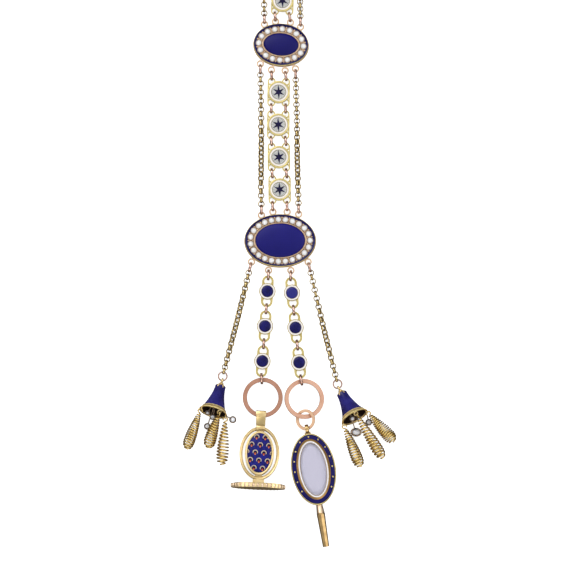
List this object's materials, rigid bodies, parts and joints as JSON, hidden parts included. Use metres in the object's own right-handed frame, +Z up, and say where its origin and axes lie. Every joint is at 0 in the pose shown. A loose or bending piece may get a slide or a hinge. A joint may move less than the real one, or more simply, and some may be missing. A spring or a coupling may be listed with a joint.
{
  "type": "chatelaine",
  "caption": "Chatelaine with a belt hook, two oval enamelled plaques set with half pearls, star and circle links, belcher chains, two coil tassels, a fob seal and a watch key, laid flat",
  "frame": {"origin": "middle of the lower oval plaque's back face, which rests on the table", "axes": "+Y runs up the chatelaine toward its belt hook, +X to its right as seen from the front, +Z up out of the table"},
  "size_m": [0.0709, 0.2046, 0.0095],
  "materials": {
    "yellow_gold": "polished",
    "rose_gold": "polished",
    "blue_enamel": "gloss",
    "white_enamel": "gloss",
    "pearl": "satin",
    "dark_silver": "satin",
    "clear_glass": "clear"
  },
  "bodies": {
    "root": {"hook_plate": "yellow_gold", "upper_plaque_mount": "yellow_gold", "lower_plaque_mount": "yellow_gold", "star_link_1": "yellow_gold", "star_link_2": "yellow_gold", "star_link_3": "yellow_gold", "star_link_4": "yellow_gold", "star_link_5": "yellow_gold", "circle_link_left_1": "yellow_gold", "circle_link_left_2": "yellow_gold", "circle_link_left_3": "yellow_gold", "circle_link_right_1": "yellow_gold", "circle_link_right_2": "yellow_gold", "circle_link_right_3": "yellow_gold", "upper_chain_left": "yellow_gold", "upper_chain_right": "yellow_gold", "long_chain_left": "yellow_gold", "long_chain_right": "yellow_gold", "tassel_chain_left": "yellow_gold", "tassel_chain_right": "yellow_gold", "seal_body": "yellow_gold", "key_body": "yellow_gold", "bell_left": "yellow_gold", "bell_right": "yellow_gold", "coil_left_1": "yellow_gold", "coil_left_2": "yellow_gold", "coil_left_3": "yellow_gold", "coil_right_1": "yellow_gold", "coil_right_2": "yellow_gold", "coil_right_3": "yellow_gold", "top_jump_rings": "rose_gold", "star_jump_rings": "rose_gold", "chain_jump_rings": "rose_gold", "strand_jump_rings": "rose_gold", "split_ring_left": "rose_gold", "split_ring_right": "rose_gold", "key_bow_ring": "rose_gold", "tassel_ring_left": "rose_gold", "tassel_ring_right": "rose_gold", "upper_border_enamel": "blue_enamel", "upper_centre_enamel": "blue_enamel", "lower_border_enamel": "blue_enamel", "lower_centre_enamel": "blue_enamel", "star_blue_inlays": "blue_enamel", "circle_blue_enamels": "blue_enamel", "seal_enamel": "blue_enamel", "key_enamel": "blue_enamel", "bell_enamel_left": "blue_enamel", "bell_enamel_right": "blue_enamel", "star_white_enamels": "white_enamel", "circle_white_enamels": "white_enamel", "star_centres": "white_enamel", "upper_pearls": "pearl", "lower_pearls": "pearl", "tassel_pearls_left": "pearl", "tassel_pearls_right": "pearl", "tassel_collets_left": "dark_silver", "tassel_collets_right": "dark_silver", "key_glass": "clear_glass"}
  },
  "joints": []
}
